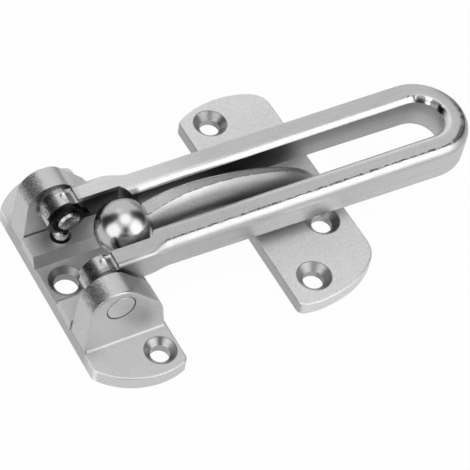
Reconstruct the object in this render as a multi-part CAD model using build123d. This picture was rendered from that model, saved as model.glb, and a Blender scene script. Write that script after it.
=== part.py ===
from build123d import *
import os
from math import asin, cos, radians, sin, sqrt, tan

# swing bar door guard, X along the bar, Y along the pin axis, Z away from the frame, origin under the pin axis

# hinge plate casting
hingeWidth = 24.5  # across the plate, along X
hingeLength = 74.8  # tip to tip, along Y
pinSetback = 9.95  # pin axis from the outer long edge
tabThickness = 4.1
padHeight = 7.85  # raised pads that carry the detent plungers
pocketHalf = 6.6  # half width of the pocket floor between the pads
pocketLean = 1.45  # how far the pocket walls lean out
endRadius = 20.5  # arc of both plate ends
endCentreX = 6.5
cornerRadius = 2.2
plateEdge = 0.5  # rounding of the visible plate edges
earInner = 15.0  # inner face of each ear from mid plane
earThickness = 8.2  # at the foot
earDraft = 0.4  # degrees, outer face leans in
earInnerDraft = 2.4  # degrees, inner face leans out
earEdge = 0.6
earCrown = 7.0  # rounding of the ear's top left corner
earFootRound = 0.8  # hollow rounding at the outer foot
earTop = 24.4  # highest point of an ear over the frame
earLeft = 2.1  # how far an ear's left side leans in
earShoulder = 2.0  # where the ear starts to slope down
earToe = 1.9  # from the foot of the slope to the plate's edge
tabHoleX = 9.1
tabHoleY = 30.3
hingeScrewRadius = 2.7
hingeSinkRadius = 4.36
middleHoleX = -3.6
middleHoleRadius = 3.4
middleSinkRadius = 4.9

# pins, clips and detents
pinHeight = 18.3  # pin axis over the frame
pinRadius = 4.0
pinRun = 0.05  # running gap between pin and barrel
pinTail = 2.2  # pin end beyond the barrel face
tailRadius = 3.15  # the pin steps down inside the clip
pinChamfer = 0.6
clipThickness = 0.9
clipOuter = 4.6
clipInner = 3.4
clipGrooveRadius = 2.4
clipGap = 0.05
clipOpening = -48.0  # degrees in the XZ plane
clipMouth = 45.0  # half angle of the open side
clipLobe = 5.6  # how far out the lobes at the mouth are centred
plungerRadius = 2.3
wellGap = 0.6
wellY = 11.9
wellFloor = 1.4
plungerFlange = 2.75  # foot that guides the plunger in its well
flangeHeight = 1.6
plungerBore = 1.6
plungerWall = 1.6  # solid nose over the spring pocket
landGap = 0.04  # pressed plunger nose to the barrel land
springWire = 0.45
springGap = 0.15
springTurns = 5

# swing bar casting
barrelRadius = 6.0
sideGap = 0.25  # barrel end to ear face
barRise = 6.1  # flat top over the pin axis
forkThickness = 8.6
endThickness = 10.8  # the underside falls steadily to the round end
forkInner = 9.5  # half width of the ball opening
armOuter = 13.85  # half width where the narrow part begins
slotHalf = 6.4
armSplay = 0.35  # how much wider both are at the round end
flatInset = 2.3  # flat top from the slot wall
innerFall = 1.45  # height of the rounding at the slot
outerInset = 1.85  # flat top from the outer face
outerFall = 3.3  # height of the bevelled rounding outside
forkRound = 1.0
underRound = 0.7
forkEnd = 12.0  # where the wide part starts to draw in
neckEnd = 19.5  # where the narrow part begins
jogStart = 15.0
jogRun = 2.4
stepX = 3.1  # arm flat starts here, over the barrel
endX = 105.3  # centre of the round end
grooveHalf = 1.6  # half width of a detent groove
grooveDepth = 0.62
grooveAngles = (70, 180, 270)  # the first lies at the foot of the step
detentRise = 0.3  # how far a plunger rises into a groove or the seat on top
seatPlay = 0.1  # round the plunger nose in the seat on top

# keeper casting and ball
keeperLift = 8.0  # door face over the frame face
keeperLeft = 46.7
keeperWidth = 28.4
keeperThickness = 3.9
keeperTip = 37.6  # both ends from mid plane
farCorner = 6.5
keeperSinkRadius = 4.8
keeperScrewRadius = 2.9
outerHole = (8.4, 29.7)  # from the keeper's left edge and mid plane
innerHole = (20.3, 13.9)
hornHalf = 4.7
crestAtBall = 2.4  # half width of the flat crest, which narrows along the horn
crestAtPlate = 0.7
hornShoulder = 5.2  # height of the rounded flank under the crest
hornBelly = 2.0  # rounding of the underside
ballRadius = 7.93
ballX = 12.0
ballZ = 19.1
spigotRadius = 2.6
spigotReach = 4.5

os.makedirs("parts", exist_ok=True)


def save(shape, name):
    export_step(shape, f"parts/{name}.step")


def sinkCutter(x, y, back, top, screwRadius, sinkRadius):
    # through hole with a 90 degree countersink, cut from the top face
    depth = sinkRadius - screwRadius
    hole = Pos(x, y, back - 1) * Cylinder(screwRadius, top - back + 2, align=(Align.CENTER, Align.CENTER, Align.MIN))
    cone = Pos(x, y, top - depth) * Cone(
        screwRadius, sinkRadius, depth, align=(Align.CENTER, Align.CENTER, Align.MIN)
    )
    return hole + cone


def alongY(radius, y0, y1, x, z):
    # cylinder with its axis along Y
    solid = Rot(-90, 0, 0) * Cylinder(radius, y1 - y0, align=(Align.CENTER, Align.CENTER, Align.MIN))
    return Pos(x, y0, z) * solid


def block(x0, x1, y0, y1, z0, z1):
    return Pos(x0, y0, z0) * Box(x1 - x0, y1 - y0, z1 - z0, align=(Align.MIN, Align.MIN, Align.MIN))


def bothSides(shape):
    return shape + mirror(shape, about=Plane.XZ)


# hinge plate
left = -pinSetback
right = hingeWidth - pinSetback
tip = hingeLength / 2
arcY = tip - endRadius
leftY = arcY + sqrt(endRadius**2 - (endCentreX - left) ** 2)
rightY = arcY + sqrt(endRadius**2 - (right - endCentreX) ** 2)
outline = Polyline((left, 0), (left, leftY)) + ThreePointArc((left, leftY), (endCentreX, tip), (right, rightY))
outline += Polyline((right, rightY), (right, -rightY))
outline += ThreePointArc((right, -rightY), (endCentreX, -tip), (left, -leftY)) + Polyline((left, -leftY), (left, 0))
base = extrude(make_face(outline), tabThickness)
base = fillet(base.edges().filter_by(Axis.Z), cornerRadius)
base = fillet(base.faces().sort_by(Axis.Z)[-1].outer_wire().edges(), plateEdge)

earFoot = earInner + earThickness
slopeEnd = right - earToe
slopeFall = slopeEnd - earShoulder
lean = tan(radians(earDraft))
innerLean = tan(radians(earInnerDraft))
earPlan = Polygon(
    (left, 1.0),
    (left + earLeft, earTop),
    (earShoulder, earTop),
    (slopeEnd, earTop - slopeFall),
    (right, 1.0),
    align=None,
)
earPlan = fillet(earPlan.vertices().filter_by(lambda v: v.X < left + earLeft + 1 and v.Y > earTop - 1), earCrown)
earPlan = fillet(earPlan.vertices().filter_by(lambda v: abs(v.X - earShoulder) < 0.1), 6.0)
earPlan = fillet(earPlan.vertices().filter_by(lambda v: abs(v.X - slopeEnd) < 0.1), 9.0)
earFace = Plane.XZ * earPlan
earBlank = extrude(earFace, earFoot + 1, dir=(0, 1, 0))
wedgeFace = Plane.YZ * Polygon(
    (earInner, 0.5),
    (earFoot - 0.5 * lean, 0.5),
    (earFoot - (earTop + 2) * lean, earTop + 2),
    (earInner + (earTop + 1.5) * innerLean, earTop + 2),
    align=None,
)
ear = earBlank & extrude(wedgeFace, 2 * hingeWidth, both=True)
outerRim = [e for e in ear.edges() if e.center().Y > earFoot - 1.3 and e.center().Z > 2]
ear = fillet(outerRim, earEdge)

padFace = Plane.YZ * Polygon(
    (pocketHalf, 0.5),
    (pocketHalf, tabThickness),
    (pocketHalf + pocketLean, padHeight),
    (earInner, padHeight),
    (earInner, 0.5),
    align=None,
)
pad = Pos(left, 0, 0) * extrude(padFace, hingeWidth, dir=(1, 0, 0))
footY = earFoot - (tabThickness + earFootRound) * lean
footMid = earFootRound * (1 - cos(radians(45)))
footLine = Polyline(
    (footY - 0.4, tabThickness + earFootRound),
    (footY - 0.4, tabThickness - 0.4),
    (footY + earFootRound, tabThickness - 0.4),
    (footY + earFootRound, tabThickness),
)
footLine += ThreePointArc(
    (footY + earFootRound, tabThickness),
    (footY + footMid, tabThickness + footMid),
    (footY, tabThickness + earFootRound),
)
footLine += Line((footY, tabThickness + earFootRound), (footY - 0.4, tabThickness + earFootRound))
footFace = Plane.YZ * make_face(footLine)
foot = Pos(left + 0.9, 0, 0) * extrude(footFace, hingeWidth - 1.8, dir=(1, 0, 0))
hinge = base + bothSides(ear + pad + foot)

holeCuts = bothSides(sinkCutter(tabHoleX, tabHoleY, 0, tabThickness, hingeScrewRadius, hingeSinkRadius))
holeCuts += sinkCutter(middleHoleX, 0, 0, tabThickness, middleHoleRadius, middleSinkRadius)
well = Pos(0, wellY, wellFloor) * Cylinder(
    plungerRadius + wellGap, padHeight - wellFloor + 0.6, align=(Align.CENTER, Align.CENTER, Align.MIN)
)
pinBore = alongY(pinRadius, earInner - 1, earFoot + 1, 0, pinHeight)
hinge = hinge - holeCuts - bothSides(well + pinBore)
save(hinge, "hinge_plate")

# swing bar: two arms joined by a round end, then the draw-in, the fork and the barrels
top = pinHeight + barRise
forkOuter = earInner - sideGap


def armSection(inner, outer, thickness, inset, fall):
    # section of one arm in local axes, first axis across the arm and second up
    low = top - thickness
    outR = (inset**2 + fall**2) / (2 * inset)
    outTurn = asin(min(1.0, fall / outR)) / 2
    inR = (flatInset**2 + innerFall**2) / (2 * innerFall)
    inTurn = asin(flatInset / inR) / 2
    corner = underRound * (1 - cos(radians(45)))
    line = Polyline((inner + underRound, low), (outer - underRound, low))
    line += ThreePointArc((outer - underRound, low), (outer - corner, low + corner), (outer, low + underRound))
    line += Polyline((outer, low + underRound), (outer, top - fall))
    line += ThreePointArc(
        (outer, top - fall),
        (outer - outR * (1 - cos(outTurn)), top - fall + outR * sin(outTurn)),
        (outer - inset, top),
    )
    line += Polyline((outer - inset, top), (inner + flatInset, top))
    line += ThreePointArc(
        (inner + flatInset, top),
        (inner + flatInset - inR * sin(inTurn), top - inR * (1 - cos(inTurn))),
        (inner, top - innerFall),
    )
    line += Polyline((inner, top - innerFall), (inner, low + underRound))
    line += ThreePointArc((inner, low + underRound), (inner + corner, low + corner), (inner + underRound, low))
    return make_face(line)


def sectionAt(x, inner, outer, thickness, inset, fall):
    plane = Plane(origin=(x, 0, 0), x_dir=(0, 1, 0), z_dir=(1, 0, 0))
    return plane * armSection(inner, outer, thickness, inset, fall)


neckThickness = forkThickness + (endThickness - forkThickness) * (neckEnd - stepX) / (endX - stepX)
narrow = sectionAt(neckEnd, slotHalf, armOuter, neckThickness, outerInset, outerFall)
wide = sectionAt(endX, slotHalf + armSplay, armOuter + armSplay, endThickness, outerInset, outerFall)
arm = loft([narrow, wide], ruled=True)
turn = revolve(wide, Axis((endX, 0, 0), (0, 0, 1)), -180)
neckSections = []
for i in range(6):
    t = i / 5
    ease = t * t * (3 - 2 * t)
    x = forkEnd + (neckEnd - forkEnd) * t
    neckSections.append(
        sectionAt(
            x,
            slotHalf,
            forkOuter + (armOuter - forkOuter) * ease,
            forkThickness + (endThickness - forkThickness) * (x - stepX) / (endX - stepX),
            forkRound + (outerInset - forkRound) * ease,
            forkRound + (outerFall - forkRound) * ease,
        )
    )
neck = loft(neckSections)
forkStart = sectionAt(stepX, slotHalf, forkOuter, forkThickness, forkRound, forkRound)
fork = loft([forkStart, neckSections[0]], ruled=True)
barrel = alongY(barrelRadius, forkInner, forkOuter, 0, pinHeight)
side = arm + neck + fork + barrel
opening = Polygon(
    (-barrelRadius - 5, 0),
    (-barrelRadius - 5, forkInner),
    (jogStart, forkInner),
    (jogStart + jogRun, slotHalf),
    (jogStart + jogRun, 0),
    align=None,
)
side -= Pos(0, 0, pinHeight - 15) * extrude(opening, 30, dir=(0, 0, 1))
bar = bothSides(side) + turn

grooveBall = (grooveHalf**2 + grooveDepth**2) / (2 * grooveDepth)
grooveReach = sqrt(barrelRadius**2 - grooveHalf**2) - grooveDepth + grooveBall
for angle in grooveAngles:
    gx = grooveReach * cos(radians(angle))
    gz = pinHeight + grooveReach * sin(radians(angle))
    groove = alongY(grooveBall, -forkOuter - 1, forkOuter + 1, gx, gz)
    bar -= groove & (block(-9, stepX, -forkOuter - 1, forkOuter + 1, pinHeight - 12, pinHeight + 12))
seatZ = pinHeight + barrelRadius + landGap - detentRise + plungerRadius
bar -= bothSides(Pos(0, wellY, seatZ) * Sphere(plungerRadius + seatPlay))
bar -= alongY(pinRadius + pinRun, -forkOuter - 1, forkOuter + 1, 0, pinHeight)
save(bar, "swing_bar")

# hinge pins with a clip groove at the inner end
clipFace = forkInner - clipGap
clipBack = clipFace - clipThickness
pinInner = forkInner - pinTail
pinOuter = earFoot - pinHeight * lean
tail = alongY(tailRadius, pinInner, clipFace + clipGap, 0, pinHeight)
tail = chamfer(tail.edges().group_by(Axis.Y)[0], pinChamfer)
shank = alongY(pinRadius, forkInner, pinOuter, 0, pinHeight)
pin = tail + chamfer(shank.edges().group_by(Axis.Y)[-1], 0.25)
ringCut = alongY(tailRadius + 1, clipBack - clipGap, clipFace + clipGap, 0, pinHeight)
ringCut -= alongY(clipGrooveRadius, clipBack - 1, clipFace + 1, 0, pinHeight)
pin -= ringCut
save(pin, "hinge_pin_far")
save(mirror(pin, about=Plane.XZ), "hinge_pin_near")

# retaining clips
clipRing = Circle(clipOuter) - Circle(clipInner)
mouth = Polygon(
    (0, 0),
    (20 * cos(radians(clipOpening - clipMouth)), 20 * sin(radians(clipOpening - clipMouth))),
    (28 * cos(radians(clipOpening)), 28 * sin(radians(clipOpening))),
    (20 * cos(radians(clipOpening + clipMouth)), 20 * sin(radians(clipOpening + clipMouth))),
    align=None,
)
clipPlan = clipRing - mouth
ringMid = (clipOuter + clipInner) / 2
lobe = (clipOuter - clipInner) / 2 + 0.2
for angle in (clipOpening - clipMouth, clipOpening + clipMouth):
    clipArm = Pos((ringMid + clipLobe) / 2, 0) * Rectangle(clipLobe - ringMid, 2 * lobe)
    clipArm += Pos(clipLobe, 0) * Circle(lobe)
    clipArm += Pos(ringMid, 0) * Circle(lobe)
    clipPlan += Rot(0, 0, angle) * clipArm
prongLength = ringMid - clipGrooveRadius
for angle in (clipOpening + 180, clipOpening + 180 - 105, clipOpening + 180 + 105):
    prong = Pos(clipGrooveRadius + prongLength / 2 + 0.03, 0) * Rectangle(prongLength, 1.5)
    clipPlan += Rot(0, 0, angle) * prong
clip = Pos(0, 0, pinHeight) * extrude(Plane.XZ * clipPlan, clipThickness, dir=(0, -1, 0))
clip = Pos(0, clipFace, 0) * clip
save(clip, "retaining_clip_far")
save(mirror(clip, about=Plane.XZ), "retaining_clip_near")

# detent plungers, shown pressed down by the barrel land
noseTop = pinHeight - barrelRadius - landGap
domeZ = noseTop - plungerRadius
plungerFoot = wellFloor + 1.2
body = Pos(0, wellY, plungerFoot) * Cylinder(
    plungerRadius, domeZ - plungerFoot, align=(Align.CENTER, Align.CENTER, Align.MIN)
)
body += Pos(0, wellY, plungerFoot) * Cylinder(
    plungerFlange, flangeHeight, align=(Align.CENTER, Align.CENTER, Align.MIN)
)
body += Pos(0, wellY, domeZ) * Sphere(plungerRadius)
springTop = domeZ - plungerWall
body -= Pos(0, wellY, 0) * Cylinder(plungerBore, springTop, align=(Align.CENTER, Align.CENTER, Align.MIN))
save(body, "detent_plunger_far")
save(mirror(body, about=Plane.XZ), "detent_plunger_near")

# springs under the plungers
coilRadius = plungerBore - springGap - springWire / 2
coilBottom = wellFloor + springWire / 2
coilHeight = springTop - wellFloor - springWire
coil = Helix(pitch=coilHeight / springTurns, height=coilHeight, radius=coilRadius)
wire = Plane(origin=coil @ 0, z_dir=coil % 0) * Circle(springWire / 2)
spring = Pos(0, wellY, coilBottom) * sweep(wire, path=coil, is_frenet=True)
save(spring, "detent_spring_far")
save(mirror(spring, about=Plane.XZ), "detent_spring_near")

# keeper plate with the horn that carries the ball
keeperTop = keeperLift + keeperThickness
keeperRight = keeperLeft + keeperWidth
farEnd = ThreePointArc(
    (keeperLeft, keeperTip - 4.2), (keeperLeft + 15, keeperTip), (keeperRight, keeperTip - 3.6)
)
nearEnd = Spline(
    (keeperRight, 13.0 - keeperTip),
    (keeperRight - 4.8, 4.9 - keeperTip),
    (keeperRight - 12.4, 1.2 - keeperTip),
    (keeperLeft + 5.5, -keeperTip - 0.3),
    (keeperLeft, 0.4 - keeperTip),
    tangents=[(-0.03, -1), (-1, 0.14)],
)
keeperOutline = Polyline((keeperLeft, 0), (keeperLeft, keeperTip - 4.2)) + farEnd
keeperOutline += Polyline((keeperRight, keeperTip - 3.6), (keeperRight, 13.0 - keeperTip)) + nearEnd
keeperOutline += Polyline((keeperLeft, 0.4 - keeperTip), (keeperLeft, 0))
keeper = Pos(0, 0, keeperLift) * extrude(make_face(keeperOutline), keeperThickness)
farRight = keeper.edges().filter_by(Axis.Z).filter_by(lambda e: e.center().X > keeperRight - 1 and e.center().Y > 0)
keeper = fillet(farRight, farCorner)
leftCorners = keeper.edges().filter_by(Axis.Z).filter_by(lambda e: e.center().X < keeperLeft + 1)
keeper = fillet(leftCorners, cornerRadius)
keeper = fillet(keeper.faces().sort_by(Axis.Z)[-1].outer_wire().edges(), plateEdge)

ridge = Spline(
    (ballX + 1.0, ballZ + 2.6),
    (ballX + 6.6, ballZ + 5.2),
    (ballX + 13.5, ballZ + 7.2),
    (ballX + 24, ballZ + 7.7),
    (ballX + 37.7, ballZ + 5.6),
    (ballX + 52.8, ballZ + 0.2),
    (keeperRight - 0.9, keeperTop - 0.6),
)
throat = Spline(
    (keeperLeft + 4.0, keeperLift + 0.8),
    (keeperLeft - 3.5, keeperTop + 1.6),
    (keeperLeft - 13, ballZ - 3.3),
    (ballX + 8, ballZ - 3.6),
    (ballX + 1.0, ballZ - 2.6),
)


def heightAt(curve, x):
    # height of a side line of the horn at x, found by halving
    low, high = 0.0, 1.0
    if (curve @ 0).X > (curve @ 1).X:
        low, high = 1.0, 0.0
    for step in range(30):
        middle = (low + high) / 2
        if (curve @ middle).X < x:
            low = middle
        else:
            high = middle
    return (curve @ low).Y


def hornSection(x, share):
    # section across the horn: flat crest, rounded flanks, rounded belly
    crestZ = heightAt(ridge, x)
    foot = heightAt(throat, x) if x < keeperLeft + 3.9 else keeperLift + 0.8
    crest = crestAtPlate + (crestAtBall - crestAtPlate) * (1 - share) ** 3
    drop = min(hornShoulder, crestZ - foot - hornBelly - 0.3)
    flankZ = crestZ - drop
    flank = ThreePointArc(
        (crest, crestZ), (crest + (hornHalf - crest) * 0.56, crestZ - drop * 0.42), (hornHalf, flankZ)
    )
    belly = ThreePointArc(
        (hornHalf, foot + hornBelly), (hornHalf - hornBelly * 0.29, foot + hornBelly * 0.29), (hornHalf - hornBelly, foot)
    )
    half = flank + Line((hornHalf, flankZ), (hornHalf, foot + hornBelly)) + belly
    other = mirror(half, about=Plane.YZ)
    loop = half + Line((crest, crestZ), (-crest, crestZ)) + other
    loop += Line((hornHalf - hornBelly, foot), (hornBelly - hornHalf, foot))
    return Plane(origin=(x, 0, 0), x_dir=(0, 1, 0), z_dir=(1, 0, 0)) * make_face(loop)


hornStart = ballX + 1.0
hornEnd = keeperRight - 0.9
hornStations = 12
hornSections = []
for i in range(hornStations + 1):
    share = i / hornStations
    hornSections.append(hornSection(hornStart + (hornEnd - hornStart) * share, share))
horn = loft(hornSections)
keeper += horn
ballSolid = Pos(ballX, 0, ballZ) * Sphere(ballRadius)
keeper -= ballSolid
spigotStart = ballX + spigotReach - ballRadius + 2.5
spigot = Pos(spigotStart, 0, ballZ) * Rot(0, 90, 0) * Cylinder(
    spigotRadius, ballRadius + 6, align=(Align.CENTER, Align.CENTER, Align.MIN)
)
keeper += spigot
keeperHoles = [
    (outerHole[0], outerHole[1]),
    (outerHole[0], -outerHole[1]),
    (innerHole[0], innerHole[1]),
    (innerHole[0], -innerHole[1]),
]
for hx, hy in keeperHoles:
    keeper -= sinkCutter(keeperLeft + hx, hy, keeperLift, keeperTop, keeperScrewRadius, keeperSinkRadius)
save(keeper, "keeper_plate")

ball = ballSolid - Pos(spigotStart, 0, ballZ) * Rot(0, 90, 0) * Cylinder(
    spigotRadius, ballRadius + 8, align=(Align.CENTER, Align.CENTER, Align.MIN)
)
save(ball, "keeper_ball")
print("parts written")
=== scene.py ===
import math
import bmesh
import bpy
from mathutils import Matrix, Vector


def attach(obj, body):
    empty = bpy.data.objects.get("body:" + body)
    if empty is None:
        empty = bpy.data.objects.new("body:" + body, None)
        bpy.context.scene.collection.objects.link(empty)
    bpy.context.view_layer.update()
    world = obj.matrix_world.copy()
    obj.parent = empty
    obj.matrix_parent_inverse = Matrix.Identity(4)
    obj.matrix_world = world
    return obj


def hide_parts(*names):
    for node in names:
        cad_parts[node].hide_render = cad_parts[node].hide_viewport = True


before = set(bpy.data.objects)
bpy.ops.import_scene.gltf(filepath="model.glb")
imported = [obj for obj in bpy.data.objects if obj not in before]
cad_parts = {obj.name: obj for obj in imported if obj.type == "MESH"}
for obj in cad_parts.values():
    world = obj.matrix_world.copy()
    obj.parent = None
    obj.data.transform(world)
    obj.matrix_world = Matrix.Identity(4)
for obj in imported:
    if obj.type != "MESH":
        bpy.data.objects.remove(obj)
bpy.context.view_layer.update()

mm = 0.001
print("frame loaded")


# short calls for building node trees; a value is a socket or a plain number
def link(tree, source, target):
    tree.links.new(source, target)


def feed(tree, value, socket):
    if isinstance(value, (int, float, tuple)):
        socket.default_value = value
    else:
        link(tree, value, socket)


def addNode(tree, kind, **settings):
    node = tree.nodes.new(kind)
    for key, value in settings.items():
        setattr(node, key, value)
    return node


def mathNode(tree, operation, *values):
    node = addNode(tree, "ShaderNodeMath", operation=operation)
    for socket, value in zip(node.inputs, values):
        feed(tree, value, socket)
    return node.outputs[0]


def chain(tree, operation, values):
    total = values[0]
    for value in values[1:]:
        total = mathNode(tree, operation, total, value)
    return total


def times(tree, *values):
    return chain(tree, "MULTIPLY", values)


def plus(tree, *values):
    return chain(tree, "ADD", values)


def minus(tree, a, b):
    return mathNode(tree, "SUBTRACT", a, b)


def larger(tree, *values):
    return chain(tree, "MAXIMUM", values)


def apart(tree, a, b):
    return mathNode(tree, "ABSOLUTE", minus(tree, a, b))


def hypotenuse(tree, a, b):
    return mathNode(tree, "SQRT", plus(tree, times(tree, a, a), times(tree, b, b)))


def toned(tree, shade, mask, change):
    # shade times 1 plus the change where the mask is full
    return times(tree, shade, plus(tree, 1.0, times(tree, mask, change)))


def mapped(tree, kind, value, start, end, low, high):
    node = addNode(tree, "ShaderNodeMapRange", interpolation_type=kind)
    for name, given in (("Value", value), ("From Min", start), ("From Max", end), ("To Min", low), ("To Max", high)):
        feed(tree, given, node.inputs[name])
    return node.outputs[0]


def remap(tree, value, start, end, low, high):
    return mapped(tree, "LINEAR", value, start, end, low, high)


def smooth(tree, value, start, end, low=0.0, high=1.0):
    return mapped(tree, "SMOOTHSTEP", value, start, end, low, high)


def parts(tree, vector):
    split = addNode(tree, "ShaderNodeSeparateXYZ")
    link(tree, vector, split.inputs[0])
    return split.outputs[0], split.outputs[1], split.outputs[2]


def vectorOf(tree, *values):
    join = addNode(tree, "ShaderNodeCombineXYZ")
    for socket, value in zip(join.inputs, values):
        feed(tree, value, socket)
    return join.outputs[0]


def mixColour(tree, factor, a, b, blend="MIX"):
    node = addNode(tree, "ShaderNodeMix", data_type="RGBA", blend_type=blend)
    for place, value in ((0, factor), (6, a), (7, b)):
        feed(tree, (*value, 1.0) if isinstance(value, tuple) else value, node.inputs[place])
    return node.outputs[2]


def addNoise(tree, place, scale, detail, roughness=0.5):
    # noise in space for a vector, along a line for a single value
    inLine = place.type == "VALUE"
    node = addNode(tree, "ShaderNodeTexNoise", noise_dimensions="1D" if inLine else "3D")
    link(tree, place, node.inputs["W" if inLine else "Vector"])
    for name, value in (("Scale", scale), ("Detail", detail), ("Roughness", roughness)):
        feed(tree, value, node.inputs[name])
    return node.outputs["Fac"]


def newGroup(name, inputs, outputs):
    # a node group with named sockets; inputs are (name, kind, default)
    group = bpy.data.node_groups.new(name, "ShaderNodeTree")
    for label, kind, default in inputs:
        socket = group.interface.new_socket(label, in_out="INPUT", socket_type=kind)
        socket.default_value = default
    for label in outputs:
        group.interface.new_socket(label, in_out="OUTPUT", socket_type="NodeSocketFloat")
    return group, group.nodes.new("NodeGroupInput"), group.nodes.new("NodeGroupOutput")


def placeGroup(tree, group, **values):
    node = addNode(tree, "ShaderNodeGroup", node_tree=group)
    for key, value in values.items():
        feed(tree, value, node.inputs[key])
    return node


# noise drawn out along the first axis of the given vector, as brushing leaves it
def makeBrushLines():
    group, start, end = newGroup(
        "brushLines",
        [("Vector", "NodeSocketVector", (0, 0, 0)), ("Across", "NodeSocketFloat", 3600.0),
         ("Along", "NodeSocketFloat", 110.0)],
        ["Fine", "Broad"],
    )
    x, y, z = parts(group, start.outputs["Vector"])
    for label, share in (("Fine", 1.0), ("Broad", 0.22)):
        across = times(group, start.outputs["Across"], share)
        along = times(group, start.outputs["Along"], share)
        drawn = vectorOf(group, times(group, x, along), times(group, y, across), times(group, z, across))
        link(group, addNoise(group, drawn, 1.0, 2.0, 0.6), end.inputs[label])
    return group


# the fine pebble of a blasted casting and slow clouding of the plating
def makeCastGrain():
    group, start, end = newGroup(
        "castGrain",
        [("Vector", "NodeSocketVector", (0, 0, 0)), ("Size", "NodeSocketFloat", 2600.0),
         ("Cloud", "NodeSocketFloat", 160.0)],
        ["Grain", "Clouds"],
    )
    for label, scale, detail in (("Grain", "Size", 3.0), ("Clouds", "Cloud", 2.0)):
        link(group, addNoise(group, start.outputs["Vector"], start.outputs[scale], detail), end.inputs[label])
    return group


# turned rings round a hole, from the distance to its axis
def makeTurnedRings():
    group, start, end = newGroup(
        "turnedRings",
        [("Distance", "NodeSocketFloat", 0.0), ("Spacing", "NodeSocketFloat", 5200.0)],
        ["Rings"],
    )
    spaced = times(group, start.outputs["Distance"], start.outputs["Spacing"])
    link(group, addNoise(group, spaced, 1.0, 2.0), end.inputs["Rings"])
    return group


brushLines = makeBrushLines()
castGrain = makeCastGrain()
turnedRings = makeTurnedRings()


def newMaterial(name):
    material = bpy.data.materials.new(name)
    material.use_nodes = True
    tree = material.node_tree
    tree.nodes.clear()
    shader = addNode(tree, "ShaderNodeBsdfPrincipled")
    shader.inputs["Metallic"].default_value = 1.0
    output = addNode(tree, "ShaderNodeOutputMaterial")
    link(tree, shader.outputs[0], output.inputs[0])
    return material, tree, shader


def bumpFrom(tree, shader, layers):
    # layers are (height socket, depth in metres), added up and fed to one bump
    bump = addNode(tree, "ShaderNodeBump")
    bump.inputs["Strength"].default_value = 1.0
    bump.inputs["Distance"].default_value = 1.0
    link(tree, plus(tree, *[times(tree, height, depth) for height, depth in layers]), bump.inputs["Height"])
    link(tree, bump.outputs[0], shader.inputs["Normal"])


def distanceTo(tree, point, centre):
    # distance in the XY plane, with the near side folded onto the far one
    x, y = parts(tree, point)[:2]
    return hypotenuse(tree, minus(tree, x, centre[0]), minus(tree, mathNode(tree, "ABSOLUTE", y), centre[1]))


unitless = ("inward", "normalX")


def region(tree, values, sides):
    # mask from sides (value name, where it starts, where it is full, how much is left outside), lengths in mm
    masks = []
    for name, start, full, *least in sides:
        unit = 1.0 if name in unitless else mm
        masks.append(smooth(tree, values[name], start * unit, full * unit, *least))
    return times(tree, *masks)


# what all the satin finishes share
satin = {
    "noiseRange": (0.3, 0.7),  # most of a noise lies in here
    "pebbleCloud": 420.0,
    "pebbleRange": (0.40, 0.60),
    "pebbleDark": (0.6, 0.1),
    "broadRough": 0.02,
    "pebbleRough": 0.06,
    "polishing": -0.55,  # change of the roughness where a place is polished
}


def makeSatin(name, settings, lineVector, places):
    # places(tree, point) gives a shade for the colour, pebble, darkLine and polish as shares, and more heights
    material, tree, shader = newMaterial(name)
    point = addNode(tree, "ShaderNodeTexCoord").outputs["Object"]
    found = places(tree, point)
    lines = placeGroup(tree, brushLines, Vector=lineVector(tree, point),
                       Across=settings["across"], Along=settings["along"])
    grain = placeGroup(tree, castGrain, Vector=point, Size=settings["grainSize"])
    coarse = placeGroup(tree, castGrain, Vector=point, Size=settings["pebbleSize"], Cloud=satin["pebbleCloud"])
    fine = remap(tree, lines.outputs["Fine"], *satin["noiseRange"], 0.0, 1.0)
    broad = remap(tree, lines.outputs["Broad"], *satin["noiseRange"], 0.0, 1.0)
    speck = remap(tree, grain.outputs["Grain"], *satin["noiseRange"], 0.0, 1.0)

    share = settings["streak"]
    tone = plus(tree, times(tree, plus(tree, fine, broad), share / 2), times(tree, speck, 1 - share))
    colour = mixColour(tree, tone, settings["dull"], settings["colour"])
    # the places' painted light and shade multiply the colour
    colour = mixColour(tree, 1.0, colour, found["shade"], "MULTIPLY")
    darkGrain = smooth(tree, coarse.outputs["Grain"], *satin["pebbleRange"], *satin["pebbleDark"])
    colour = mixColour(tree, times(tree, found["pebble"], darkGrain), colour, settings["pit"])
    colour = mixColour(tree, found["darkLine"], colour, settings["pit"])
    link(tree, colour, shader.inputs["Base Color"])

    rough = plus(
        tree, remap(tree, grain.outputs["Clouds"], *satin["noiseRange"], *settings["roughness"]),
        remap(tree, broad, 0.0, 1.0, -satin["broadRough"], satin["broadRough"]),
        times(tree, found["pebble"], satin["pebbleRough"]))
    link(tree, toned(tree, rough, found["polish"], satin["polishing"]), shader.inputs["Roughness"])
    bumpFrom(tree, shader, [
        (lines.outputs["Fine"], settings["fineDepth"]),
        (lines.outputs["Broad"], settings["broadDepth"]),
        (grain.outputs["Grain"], settings["grainDepth"]),
        (times(tree, coarse.outputs["Grain"], found["pebble"]), settings["pebbleDepth"]),
        *found["heights"],
    ])
    return material


def linesAlongX(tree, point):
    return point


def linesAlongY(tree, point):
    x, y, z = parts(tree, point)
    return vectorOf(tree, y, x, z)


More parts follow.
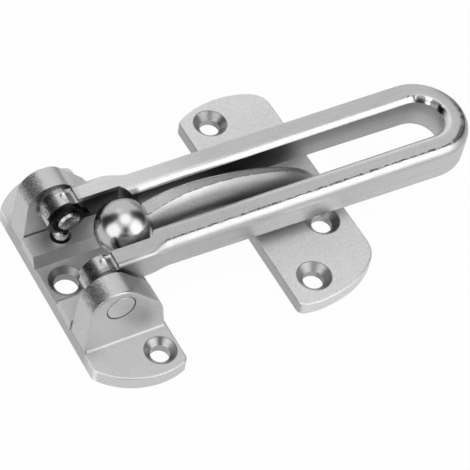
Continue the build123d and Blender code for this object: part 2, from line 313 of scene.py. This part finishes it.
# swing bar finish, brushed along the arms and round the closed end
barFinish = {
    "colour": (0.69, 0.69, 0.686),
    "dull": (0.53, 0.53, 0.528),
    "pit": (0.07, 0.07, 0.07),
    "roughness": (0.34, 0.42),
    "streak": 0.6,
    "across": 1900.0,
    "along": 60.0,
    "grainSize": 1900.0,
    "pebbleSize": 2300.0,
    "fineDepth": 0.000004,
    "broadDepth": 0.000004,
    "grainDepth": 0.000006,
    "pebbleDepth": 0.000045,
    "endX": 105.3 * mm,  # where the arms run into the round end
    "meanRadius": 10.3 * mm,
    "pinHeight": 18.3 * mm,
    # places on the bar, as region() reads them
    "places": {
        "slotWall": [("inward", 0.75, 0.97), ("height", 23.0, 22.8)],
        "side": [("inward", -0.94, -0.99)],
        "bevel": [("inward", -0.94, -0.80), ("inward", -0.42, -0.60)],
        "roundEdge": [("inward", 0.05, 0.20), ("height", 22.7, 22.9), ("x", 12.0, 28.0)],
        "insideFork": [("y", -2.0, 2.0, 0.1), ("x", 20.5, 18.5), ("x", 3.2, 5.0), ("aside", 9.9, 9.6),
                       ("height", 24.3, 23.8)],
        "byEars": [("aside", 13.3, 13.7), ("x", 11.0, 5.0)],
        "farFork": [("y", 4.0, 8.0), ("x", 45.0, 20.0), ("x", 3.0, 5.0)],
        "nearTop": [("y", 0.0, -5.0), ("height", 24.0, 24.3)],
        "barrel": [("x", 3.2, 3.0)],
        "hollow": [("turned", 5.94, 5.75), ("height", 21.5, 22.5)],
        "seat": [("fromSeat", 1.3, 0.7), ("height", 22.5, 23.2)],
        "pebble": [("x", -1.0, -3.5), ("height", 18.5, 20.5)],
        "top": [("height", 24.0, 24.3)],
        "edgeLine": [("x", 14.0, 20.0), ("y", 5.0, -1.0)],
        "byEdge": [("fromEdge", 2.0, -0.1), ("beyond", 0.0, 8.0), ("y", 10.0, 4.0)],
        "innerRound": [("beyond", -0.2, 1.0), ("radius", 8.6, 8.0), ("height", 22.4, 23.0), ("y", -3.0, 0.0)],
        "reflectionSpot": [("fromReflectionSpot", 1.7, 1.1)],
    },
    # painted light and shade, how much lighter or darker each of them is: painted highlights on the bevel and the
    # inner round edge, painted light on the far fork, painted shade inside the fork and beside the ears
    "tones": {"bevel": 0.12, "roundEdge": 0.26, "insideFork": -0.72, "byEars": -0.32, "farFork": 0.24},
    # painted highlight in the barrels' hollow
    "hollowTone": 0.30,
    # painted shade on the flat top along the outer edge of the closed end
    "byEdgeTone": -0.45,
    # painted light and shade along the bar: the outer sides and the near top darker towards the fork end, lighter
    # towards the closed end
    "sideTones": (30.0 * mm, 115.0 * mm, -0.12, 0.14),  # from x to x, tone at the one and at the other
    "nearTopTones": (30.0 * mm, 105.0 * mm, -0.09, 0.04),
    # painted shade on the slot walls: from low to high, along the bar, at the closed end and on the near side
    "wallTones": (15.5 * mm, 22.4 * mm, 0.70, 0.42),  # from low to high
    "wallAlong": (20.0 * mm, 90.0 * mm, 0.45, 1.0),
    "wallEnd": (0.0, 6.0 * mm, 1.0, 1.25),
    "wallNear": (-4.0 * mm, 0.0, 0.95, 0.0),
    "seatCentre": (0.0, 11.9 * mm),
    # painted dark reflections on the inner round of the closed end
    "reflectionSpotCentre": (109.3 * mm, 6.2 * mm),
    "reflectionNoise": (420.0, 1.0),  # scale and detail
    "reflectionRange": (0.46, 0.54),
    "reflectionDarkness": 0.8,
    "barrelPolish": 0.75,
}

# painted dark reflection: the thin broken dark line where the flat top of the bar meets its bevel
barEdge = {
    "atFork": 13.75 * mm,  # how far from the middle
    "atArms": 12.0 * mm,
    "splay": 0.35 * mm,
    "neck": (12.0 * mm, 19.5 * mm),
    "halfWidth": (0.14 * mm, 0.34 * mm),
    "wander": 0.26 * mm,
    "widening": (0.5 * mm, 6.0 * mm, 1.0, 2.8),  # past the arms
    "swell": (0.6, 1.7),
    "swellNoise": (95.0, 2.0),  # scale and detail
    "breakNoise": (420.0, 4.0),
    "breaks": (0.34, 0.60, 0.45, 1.0),
    "gritSize": 3600.0,
    "grit": (0.38, 0.52, 0.45, 1.0),
}


def fromPinAxis(tree, x, height):
    return hypotenuse(tree, x, minus(tree, height, barFinish["pinHeight"]))


def barFrame(tree, point):
    # distance along the bar, distance from its middle line and how far past the arms a point lies
    x, y = parts(tree, point)[:2]
    beyond = larger(tree, minus(tree, x, barFinish["endX"]), 0.0)
    aside = mathNode(tree, "ABSOLUTE", y)
    turn = mathNode(tree, "ARCTAN2", beyond, aside)
    along = plus(tree, mathNode(tree, "MINIMUM", x, barFinish["endX"]), times(tree, turn, barFinish["meanRadius"]))
    return along, hypotenuse(tree, beyond, aside), beyond


def linesRoundBar(tree, point):
    along, radius = barFrame(tree, point)[:2]
    return vectorOf(tree, along, radius, parts(tree, point)[2])


def barEdgeLine(tree, point, x, along, radius, beyond):
    # share of the painted dark line, and how far inside it a point lies
    ease = smooth(tree, x, *barEdge["neck"])
    edge = plus(
        tree, barEdge["atFork"], times(tree, ease, barEdge["atArms"] - barEdge["atFork"]),
        remap(tree, x, barEdge["neck"][1], barFinish["endX"], 0.0, barEdge["splay"]))
    breaks = addNoise(tree, along, *barEdge["breakNoise"])
    swell = addNoise(tree, along, *barEdge["swellNoise"])
    grit = placeGroup(tree, castGrain, Vector=point, Size=barEdge["gritSize"]).outputs["Grain"]
    wander = remap(tree, breaks, *satin["noiseRange"], 0.0, barEdge["wander"])
    width = times(tree, smooth(tree, beyond, *barEdge["widening"]),
                  remap(tree, swell, *satin["noiseRange"], *barEdge["swell"]))
    off = mathNode(tree, "DIVIDE", apart(tree, plus(tree, radius, wander), edge), width)
    line = times(tree, smooth(tree, off, *barEdge["halfWidth"], 1.0, 0.0),
                 smooth(tree, breaks, *barEdge["breaks"]), smooth(tree, grit, *barEdge["grit"]))
    return line, minus(tree, edge, radius)


def barPlaces(tree, point):
    along, radius, beyond = barFrame(tree, point)
    x, y, height = parts(tree, point)
    # share of the normal that points to the middle line of the slot
    normal = addNode(tree, "ShaderNodeTexCoord").outputs["Normal"]
    nx, ny = parts(tree, normal)[:2]
    outwards = plus(tree, times(tree, nx, beyond), times(tree, ny, y))
    inward = mathNode(tree, "DIVIDE", times(tree, outwards, -1.0), larger(tree, radius, mm))
    line, fromEdge = barEdgeLine(tree, point, x, along, radius, beyond)
    values = {
        "x": x, "y": y, "aside": mathNode(tree, "ABSOLUTE", y), "height": height, "inward": inward,
        "radius": radius, "beyond": beyond, "fromEdge": fromEdge, "turned": fromPinAxis(tree, x, height),
        "fromSeat": distanceTo(tree, point, barFinish["seatCentre"]),
        "fromReflectionSpot": distanceTo(tree, point, barFinish["reflectionSpotCentre"]),
    }
    at = {name: region(tree, values, sides) for name, sides in barFinish["places"].items()}

    # painted shade: the slot's walls are darkened under the top edge and towards the fork, less at the closed end
    # and hardly at all on the near wall
    wall = times(tree, smooth(tree, height, *barFinish["wallTones"]), smooth(tree, x, *barFinish["wallAlong"]),
                 smooth(tree, beyond, *barFinish["wallEnd"]))
    wall = larger(tree, wall, smooth(tree, y, *barFinish["wallNear"]))
    shade = toned(tree, 1.0, at["slotWall"], minus(tree, wall, 1.0))
    # painted highlights, light and shade from the bar's tones
    for name, change in barFinish["tones"].items():
        shade = toned(tree, shade, at[name], change)
    # painted shade turning to painted light along the outer sides and the near top
    shade = toned(tree, shade, at["side"], smooth(tree, x, *barFinish["sideTones"]))
    shade = toned(tree, shade, at["nearTop"], smooth(tree, x, *barFinish["nearTopTones"]))
    # the barrels are turned smooth, and a painted highlight lightens their hollow
    shade = toned(tree, shade, times(tree, at["barrel"], at["hollow"]), barFinish["hollowTone"])
    # painted shade on the flat top along the outer edge of the closed end
    shade = toned(tree, shade, times(tree, at["byEdge"], at["top"]), barFinish["byEdgeTone"])

    # painted dark reflections in spots on the polished inner round of the closed end
    reflectionNoise = addNoise(tree, point, *barFinish["reflectionNoise"])
    paintedReflections = larger(tree, at["reflectionSpot"], smooth(tree, reflectionNoise, *barFinish["reflectionRange"]))
    # painted dark reflection along the top's edge on the near side, with the painted dark spots on the inner round
    darkLine = larger(tree, times(tree, line, at["edgeLine"], at["top"]),
                      times(tree, at["innerRound"], paintedReflections, barFinish["reflectionDarkness"]))
    turned = times(tree, at["barrel"], barFinish["barrelPolish"], minus(tree, 1.0, at["seat"]))
    return {"shade": shade, "pebble": at["pebble"], "darkLine": darkLine,
            "polish": larger(tree, turned, at["innerRound"]), "heights": []}


# hinge plate finish: fine blasted casting, with painted shade on the strip beside the ears, on the near ear's slope
# and on the ears' outer faces, and painted light on the tab and the plate's left edge
hingeFinish = {
    "colour": (0.72, 0.72, 0.716),
    "dull": (0.60, 0.60, 0.598),
    "pit": (0.06, 0.06, 0.06),
    "roughness": (0.42, 0.49),
    "streak": 0.3,
    "across": 1700.0,
    "along": 120.0,
    "grainSize": 1900.0,
    "pebbleSize": 2300.0,
    "fineDepth": 0.000003,
    "broadDepth": 0.000003,
    "grainDepth": 0.000008,
    "pebbleDepth": 0.000045,
    "ringDepth": 0.000012,
    # holes: centre, rim radius and painted shade in the cone
    "holes": [((9.1 * mm, 30.3 * mm), 4.36 * mm, 0.42), ((-3.6 * mm, 0.0), 4.9 * mm, 0.55)],
    "plateTop": 4.1 * mm,
    "places": {
        "tab": [("height", 4.6, 4.2), ("aside", 23.5, 24.5)],
        "leftEdge": [("x", -9.0, -9.4), ("normalX", -0.12, -0.30), ("normalX", -0.985, -0.94), ("height", 4.5, 4.3)],
        "slope": [("x", 1.0, 4.0), ("height", 12.0, 19.0), ("y", -22.8, -22.0), ("y", -15.0, -16.0)],
        "leftStrip": [("x", -3.0, -8.0), ("height", 4.6, 4.2), ("aside", 28.0, 23.0)],
        "outerFace": [("aside", 22.2, 22.6), ("height", 4.4, 6.0)],
        "pebble": [("x", -1.5, -4.5), ("height", 18.5, 20.5), ("aside", 14.5, 15.0), ("aside", 23.0, 22.6)],
        "pinCircle": [("turned", 4.26, 4.12), ("aside", 22.4, 22.7)],
        "padCrease": [("offPad", 0.30, 0.10), ("x", -9.4, -8.8), ("x", -1.5, -3.0), ("height", 2.0, 3.0)],
        "crown": [("height", 19.0, 21.5), ("aside", 23.1, 22.9)],
    },
    # painted light on the tab and the left edge, painted shade on the slope, the left strip and the outer faces
    "tones": {"tab": 0.08, "leftEdge": 0.35, "slope": -0.38, "leftStrip": -0.22, "outerFace": -0.07},
    "padY": -5.3 * mm,
    "creaseShare": 0.5,
    "lineDarkness": 0.85,
    "crownPolish": 0.45,
    "conePolish": (10.0 * mm, 20.0 * mm, 0.2, 0.7),  # from the middle hole to the outer ones
    "edgeDullness": 1.3,
}

# countersunk holes: the cone lies under the plate's top; painted shade darkens the cone and its rim
sink = {
    "below": (0.12 * mm, 0.02 * mm),
    "mouth": 0.06 * mm,
    "rim": (0.08 * mm, 0.3 * mm, 0.55, 0.0),
    "turnedWithin": (4.8 * mm, 5.2 * mm),
}


def sinkPlaces(tree, point, holes, plateTop):
    # painted shade of the holes, their turned rings and where the cones are; holes are (centre, rim radius, painted
    # shade)
    height = parts(tree, point)[2]
    deep, level = (plateTop - depth for depth in sink["below"])
    below = smooth(tree, height, deep, level, 1.0, 0.0)
    shades, distances = [], []
    for centre, rimRadius, paintedShade in holes:
        away = distanceTo(tree, point, centre)
        inside = times(tree, smooth(tree, away, rimRadius, rimRadius + sink["mouth"], 1.0, 0.0), below)
        rim = smooth(tree, apart(tree, away, rimRadius), *sink["rim"])
        shades.append(minus(tree, 1.0, larger(tree, times(tree, inside, paintedShade), rim)))
        distances.append(away)
    nearest = chain(tree, "MINIMUM", distances)
    rings = placeGroup(tree, turnedRings, Distance=nearest).outputs["Rings"]
    cone = times(tree, smooth(tree, nearest, *sink["turnedWithin"], 1.0, 0.0), below)
    return times(tree, *shades), times(tree, rings, cone), cone


def hingePlaces(tree, point):
    x, y, height = parts(tree, point)
    aside = mathNode(tree, "ABSOLUTE", y)
    shade, rings, cone = sinkPlaces(tree, point, hingeFinish["holes"], hingeFinish["plateTop"])
    normal = addNode(tree, "ShaderNodeTexCoord").outputs["Normal"]
    values = {"x": x, "y": y, "aside": aside, "height": height, "normalX": parts(tree, normal)[0],
              "turned": fromPinAxis(tree, x, height), "offPad": apart(tree, y, hingeFinish["padY"])}
    at = {name: region(tree, values, sides) for name, sides in hingeFinish["places"].items()}
    # painted light and shade from the hinge plate's tones
    for name, change in hingeFinish["tones"].items():
        shade = toned(tree, shade, at[name], change)
    # a fine dark circle round each pin, and painted shade in the crease where the pocket meets the near pad
    darkLine = larger(tree, at["pinCircle"], times(tree, at["padCrease"], hingeFinish["creaseShare"]))
    turnedCone = times(tree, cone, smooth(tree, aside, *hingeFinish["conePolish"]))
    polish = larger(tree, times(tree, at["crown"], hingeFinish["crownPolish"]), turnedCone)
    polish = minus(tree, polish, times(tree, at["leftEdge"], hingeFinish["edgeDullness"]))
    return {"shade": shade, "pebble": at["pebble"], "darkLine": times(tree, darkLine, hingeFinish["lineDarkness"]),
            "polish": polish, "heights": [(rings, hingeFinish["ringDepth"])]}


# keeper finish: fine blasted casting, with painted shade on its left face and on its horn at the sides, the low end
# and the crest
keeperFinish = {
    # the colours are lighter than the hinge plate's: painted light on the keeper
    "colour": (0.91, 0.91, 0.906),
    "dull": (0.74, 0.74, 0.738),
    "pit": (0.06, 0.06, 0.06),
    "roughness": (0.50, 0.56),
    "streak": 0.3,
    "across": 1700.0,
    "along": 120.0,
    "grainSize": 1900.0,
    "pebbleSize": 2300.0,
    "fineDepth": 0.000003,
    "broadDepth": 0.000003,
    "grainDepth": 0.000008,
    "pebbleDepth": 0.000020,
    "ringDepth": 0.000012,
    # holes: centre, rim radius and painted shade in the cone
    "holes": [((55.1 * mm, 29.7 * mm), 4.8 * mm, 0.46), ((67.0 * mm, 13.9 * mm), 4.8 * mm, 0.46)],
    "plateTop": 11.9 * mm,
    "places": {
        "horn": [("aside", 5.6, 5.0), ("height", 12.0, 12.6)],
        "hornSide": [("aside", 1.6, 3.4)],
        "leftFace": [("normalX", -0.6, -0.9), ("height", 12.1, 11.9)],
        "hornTop": [("height", 15.0, 16.5)],
        "crest": [("pastCrest", 0.1, -0.1)],
        "crease": [("offCrest", 0.24, 0.08)],
    },
    # painted shade on the keeper's left face and its horn
    "leftTone": -0.38,
    "horn": (13.0 * mm, 71.0 * mm),  # from its tip to its foot
    "crest": (0.7 * mm, 1.7 * mm),  # half width at the foot and what the tip has more
    "hornFoot": 4.7 * mm,
    "paintedSideShade": (0.05, 0.60, 0.08, 0.52),  # from the crest down, as a share
    "paintedEndShade": (22.0 * mm, 48.0 * mm, 0.0, 0.34),
    "paintedCrestShade": (16.0 * mm, 30.0 * mm, 0.10, 0.34),
    # painted shade: broken dark lines along the edges of the horn's crest
    "creaseSize": 700.0,
    "creaseBreaks": (0.40, 0.55, 0.2, 1.0),
    "creaseDarkness": 0.6,
    "pebbleShare": 0.3,
    "conePolish": 0.5,
    "hornPolish": 0.30,
}


def keeperPlaces(tree, point):
    x, y, height = parts(tree, point)
    aside = mathNode(tree, "ABSOLUTE", y)
    shade, rings, cone = sinkPlaces(tree, point, keeperFinish["holes"], keeperFinish["plateTop"])
    # the crest of the horn narrows from the tip to the foot
    half, widening = keeperFinish["crest"]
    left = remap(tree, x, *keeperFinish["horn"], 1.0, 0.0)
    crest = plus(tree, half, times(tree, left, left, left, widening))
    pastCrest = minus(tree, aside, crest)
    normal = addNode(tree, "ShaderNodeTexCoord").outputs["Normal"]
    values = {"x": x, "aside": aside, "height": height, "normalX": parts(tree, normal)[0],
              "pastCrest": pastCrest, "offCrest": mathNode(tree, "ABSOLUTE", pastCrest)}
    at = {name: region(tree, values, sides) for name, sides in keeperFinish["places"].items()}

    # painted shade on the plate's left face and on the horn's sides, low end and crest
    shade = toned(tree, shade, at["leftFace"], keeperFinish["leftTone"])
    down = mathNode(tree, "DIVIDE", pastCrest, minus(tree, keeperFinish["hornFoot"], crest))
    for mask, value, paintedShade in (
            (at["horn"], down, "paintedSideShade"), (at["horn"], x, "paintedEndShade"),
            (times(tree, at["crest"], at["hornTop"]), x, "paintedCrestShade")):
        shade = toned(tree, shade, mask, times(tree, smooth(tree, value, *keeperFinish[paintedShade]), -1.0))
    # painted shade: broken dark lines along the edges of the horn's crest
    breaks = placeGroup(tree, castGrain, Vector=point, Size=keeperFinish["creaseSize"]).outputs["Grain"]
    crease = times(tree, at["crease"], smooth(tree, breaks, *keeperFinish["creaseBreaks"]), at["hornTop"],
                   keeperFinish["creaseDarkness"])
    polish = larger(tree, times(tree, cone, keeperFinish["conePolish"]),
                    times(tree, at["horn"], keeperFinish["hornPolish"]))
    return {"shade": shade, "pebble": times(tree, at["horn"], at["hornSide"], keeperFinish["pebbleShare"]),
            "darkLine": crease, "polish": polish, "heights": [(rings, keeperFinish["ringDepth"])]}


# pins: ground ends, polished and slightly domed where they stand inside the fork, with painted shade darkening them
# there
pinFinish = dict(
    hingeFinish, across=2600.0, streak=0.5, pebbleDepth=0.0,
    places={"insideFork": [("aside", 14.0, 12.5)]}, insideTone=-0.35, dome=-90.0)


def pinPlaces(tree, point):
    x, y, height = parts(tree, point)
    inside = region(tree, {"aside": mathNode(tree, "ABSOLUTE", y)}, pinFinish["places"]["insideFork"])
    away = fromPinAxis(tree, x, height)
    # painted shade on the pin ends inside the fork
    return {"shade": toned(tree, 1.0, inside, pinFinish["insideTone"]), "pebble": 0.0, "darkLine": 0.0,
            "polish": inside, "heights": [(times(tree, away, away, inside), pinFinish["dome"])]}


# smooth metal, whose clouds change colour and roughness a little
smoothMetal = {
    "darkening": 0.93,
    "roughness": (0.8, 1.2),
    "grainDepth": 0.0000004,
}


def polished(name, colour, roughness):
    material, tree, shader = newMaterial(name)
    point = addNode(tree, "ShaderNodeTexCoord").outputs["Object"]
    grain = placeGroup(tree, castGrain, Vector=point)
    clouds = grain.outputs["Clouds"]
    shade = tuple(part * smoothMetal["darkening"] for part in colour)
    link(tree, mixColour(tree, clouds, shade, colour), shader.inputs["Base Color"])
    low, high = (roughness * share for share in smoothMetal["roughness"])
    link(tree, remap(tree, clouds, *satin["noiseRange"], low, high), shader.inputs["Roughness"])
    bumpFrom(tree, shader, [(grain.outputs["Grain"], smoothMetal["grainDepth"])])
    return material


ballShape = {
    "centre": (12.0 * mm, 0.0, 19.1 * mm),
    "radius": 7.93 * mm,
    "neckRadius": 2.62 * mm,  # where the horn's end goes in
    "rings": 96,
    "segments": 160,
    "weld": 1e-7,
}


def makeBall():
    # turned ball with its poles along the bar, open where the horn goes in
    centre = Vector(ballShape["centre"])
    rings, segments = ballShape["rings"], ballShape["segments"]
    opening = math.asin(ballShape["neckRadius"] / ballShape["radius"])
    points, faces = [], []
    for ring in range(rings + 1):
        angle = math.pi - (math.pi - opening) * ring / rings
        for segment in range(segments):
            around = 2 * math.pi * segment / segments
            away = Vector((math.cos(angle), math.sin(angle) * math.cos(around), math.sin(angle) * math.sin(around)))
            points.append(centre + away * ballShape["radius"])
    for ring in range(rings):
        for segment in range(segments):
            a, b = ring * segments + segment, ring * segments + (segment + 1) % segments
            faces.append((a, b, b + segments, a + segments))
    mesh = bpy.data.meshes.new("polished_ball")
    mesh.from_pydata(points, [], faces)
    build = bmesh.new()
    build.from_mesh(mesh)
    bmesh.ops.remove_doubles(build, verts=build.verts, dist=ballShape["weld"])
    bmesh.ops.recalc_face_normals(build, faces=build.faces)
    build.to_mesh(mesh)
    build.free()
    mesh.shade_smooth()
    ball = bpy.data.objects.new("polished_ball", mesh)
    bpy.context.scene.collection.objects.link(ball)
    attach(ball, "fixed")
    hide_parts("keeper_ball")
    return ball


materials = {
    "bar": makeSatin("satinBar", barFinish, linesRoundBar, barPlaces),
    "hinge": makeSatin("satinHinge", hingeFinish, linesAlongY, hingePlaces),
    "keeper": makeSatin("satinKeeper", keeperFinish, linesAlongX, keeperPlaces),
    "pin": makeSatin("satinPin", pinFinish, linesAlongX, pinPlaces),
    "ball": polished("polishedBall", (0.60, 0.60, 0.60), 0.23),
    "nose": polished("polishedNose", (0.74, 0.74, 0.745), 0.14),
    "clip": polished("blackClip", (0.02, 0.02, 0.022), 0.35),
    "spring": polished("springWire", (0.5, 0.5, 0.5), 0.3),
}
nodeLook = {
    "hinge_plate": "hinge",
    "swing_bar": "bar",
    "hinge_pin_near": "pin",
    "hinge_pin_far": "pin",
    "retaining_clip_near": "clip",
    "retaining_clip_far": "clip",
    "detent_plunger_near": "nose",
    "detent_plunger_far": "nose",
    "detent_spring_near": "spring",
    "detent_spring_far": "spring",
    "keeper_plate": "keeper",
    "keeper_ball": "ball",
}
for nodeName, look in nodeLook.items():
    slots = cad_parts[nodeName].data.materials
    slots.clear()
    slots.append(materials[look])
makeBall().data.materials.append(materials["ball"])
print("materials placed")

studio = {
    "floorHeight": -0.00005,
    "floorSize": 18.0,
    "floorColour": (0.86, 0.86, 0.86, 1.0),
    "floorGlow": 0.97,
    "floorTones": (0.08, 0.40, 0.80, 0.40),  # what metal sees of it, from near the object to far away
    "roomGrey": 0.82,
    "softboxes": [  # compass angle, height angle, half width in degrees, strength
        ("overhead", -100.0, 83.0, 20.0, 0.85),
        ("left", -164.0, 24.0, 26.0, 0.82),
        ("front", -55.0, 35.0, 26.0, 0.95),
    ],
    "lightDistance": 0.9,
    "gaps": [  # dark gaps and glows round the softboxes: compass angle, height angle, half width, grey
        (142.0, 52.0, 15.0, 0.05),
        (150.0, 32.0, 20.0, 0.02),
        (146.0, 5.0, 22.0, 0.03),
        (4.0, 50.0, 15.0, 0.05),
        (-4.0, 26.0, 22.0, 0.03),
        (-114.0, 8.0, 21.0, 0.06),
        (-109.0, 42.0, 11.0, 0.08),
        (32.0, -2.0, 20.0, 0.30),
        (100.0, 55.0, 13.0, 1.05),
        (-62.0, 2.0, 18.0, 1.05),
    ],
    "gapFade": (1.4, 0.6),  # starts and is full at these shares of the half width
    "aim": (0.04, 0.0, 0.015),
}


def towards(compass, height):
    # unit vector at a compass angle from +X and a height angle over the floor
    turn, rise = math.radians(compass), math.radians(height)
    return Vector((math.cos(rise) * math.cos(turn), math.cos(rise) * math.sin(turn), math.sin(rise)))


def makeFloor():
    half = studio["floorSize"] / 2
    height = studio["floorHeight"]
    mesh = bpy.data.meshes.new("floor")
    corners = [(-half, -half, height), (half, -half, height), (half, half, height), (-half, half, height)]
    mesh.from_pydata(corners, [], [(0, 1, 2, 3)])
    floor = bpy.data.objects.new("floor", mesh)
    bpy.context.scene.collection.objects.link(floor)
    material = bpy.data.materials.new("paleFloor")
    material.use_nodes = True
    tree = material.node_tree
    tree.nodes.clear()
    diffuse = addNode(tree, "ShaderNodeBsdfDiffuse")
    diffuse.inputs["Color"].default_value = studio["floorColour"]
    glow = addNode(tree, "ShaderNodeEmission")
    glow.inputs["Color"].default_value = (1, 1, 1, 1)
    path = addNode(tree, "ShaderNodeLightPath").outputs
    seen = larger(tree, path["Is Camera Ray"], path["Is Glossy Ray"], path["Is Transmission Ray"])
    # away from the object the floor that metal reflects falls off into the room
    away = addNode(tree, "ShaderNodeVectorMath", operation="LENGTH")
    link(tree, addNode(tree, "ShaderNodeTexCoord").outputs["Object"], away.inputs[0])
    tone = smooth(tree, away.outputs["Value"], *studio["floorTones"])
    link(tree, larger(tree, tone, path["Is Camera Ray"]), glow.inputs["Strength"])
    mix = addNode(tree, "ShaderNodeMixShader")
    output = addNode(tree, "ShaderNodeOutputMaterial")
    link(tree, times(tree, seen, studio["floorGlow"]), mix.inputs[0])
    link(tree, diffuse.outputs[0], mix.inputs[1])
    link(tree, glow.outputs[0], mix.inputs[2])
    link(tree, mix.outputs[0], output.inputs[0])
    mesh.materials.append(material)


def makeRoom():
    world = bpy.data.worlds.new("softRoom")
    bpy.context.scene.world = world
    world.use_nodes = True
    tree = world.node_tree
    tree.nodes.clear()
    direction = addNode(tree, "ShaderNodeTexCoord").outputs["Generated"]
    patches = []
    for compass, height, halfAngle, grey in studio["gaps"]:
        dot = addNode(tree, "ShaderNodeVectorMath", operation="DOT_PRODUCT")
        link(tree, direction, dot.inputs[0])
        dot.inputs[1].default_value = towards(compass, height)
        start, full = (math.cos(math.radians(halfAngle * share)) for share in studio["gapFade"])
        patches.append(smooth(tree, dot.outputs["Value"], start, full, 1.0, grey / studio["roomGrey"]))
    background = addNode(tree, "ShaderNodeBackground")
    background.inputs["Color"].default_value = (1, 1, 1, 1)
    link(tree, times(tree, *patches, studio["roomGrey"]), background.inputs["Strength"])
    output = addNode(tree, "ShaderNodeOutputWorld")
    link(tree, background.outputs[0], output.inputs[0])


def makeSoftbox(name, compass, height, halfAngle, strength):
    distance = studio["lightDistance"]
    size = 2 * distance * math.tan(math.radians(halfAngle))
    light = bpy.data.lights.new(name, "AREA")
    light.shape = "DISK"
    light.size = size
    light.energy = strength * math.pi * math.pi * size * size / 4  # so that strength is its brightness
    lamp = bpy.data.objects.new(name, light)
    bpy.context.scene.collection.objects.link(lamp)
    away = towards(compass, height)
    lamp.location = Vector(studio["aim"]) + away * distance
    lamp.rotation_euler = away.to_track_quat("Z", "Y").to_euler()


makeFloor()
makeRoom()
for box in studio["softboxes"]:
    makeSoftbox(*box)
print("room lit")

# camera, as fitted to the view of the object
view = {
    "lens": 142.93,
    "sensor": 36.0,
    "shift": (0.0021, -0.0019),
    "clip": (0.01, 20.0),
    "place": (-0.155864, -0.265349, 0.399905),
    "right": (0.869784, -0.476538, 0.128017),
    "up": (0.300761, 0.717679, 0.628076),
    "back": (-0.391177, -0.507787, 0.767550),
}
cameraData = bpy.data.cameras.new("camera")
cameraData.sensor_width = view["sensor"]
cameraData.lens = view["lens"]
cameraData.shift_x, cameraData.shift_y = view["shift"]
cameraData.clip_start, cameraData.clip_end = view["clip"]
camera = bpy.data.objects.new("camera", cameraData)
bpy.context.scene.collection.objects.link(camera)
turn = Matrix((view["right"], view["up"], view["back"])).transposed()
camera.matrix_world = Matrix.Translation(Vector(view["place"])) @ turn.to_4x4()
bpy.context.scene.camera = camera
bpy.context.scene.view_settings.view_transform = "Standard"
print("camera set")
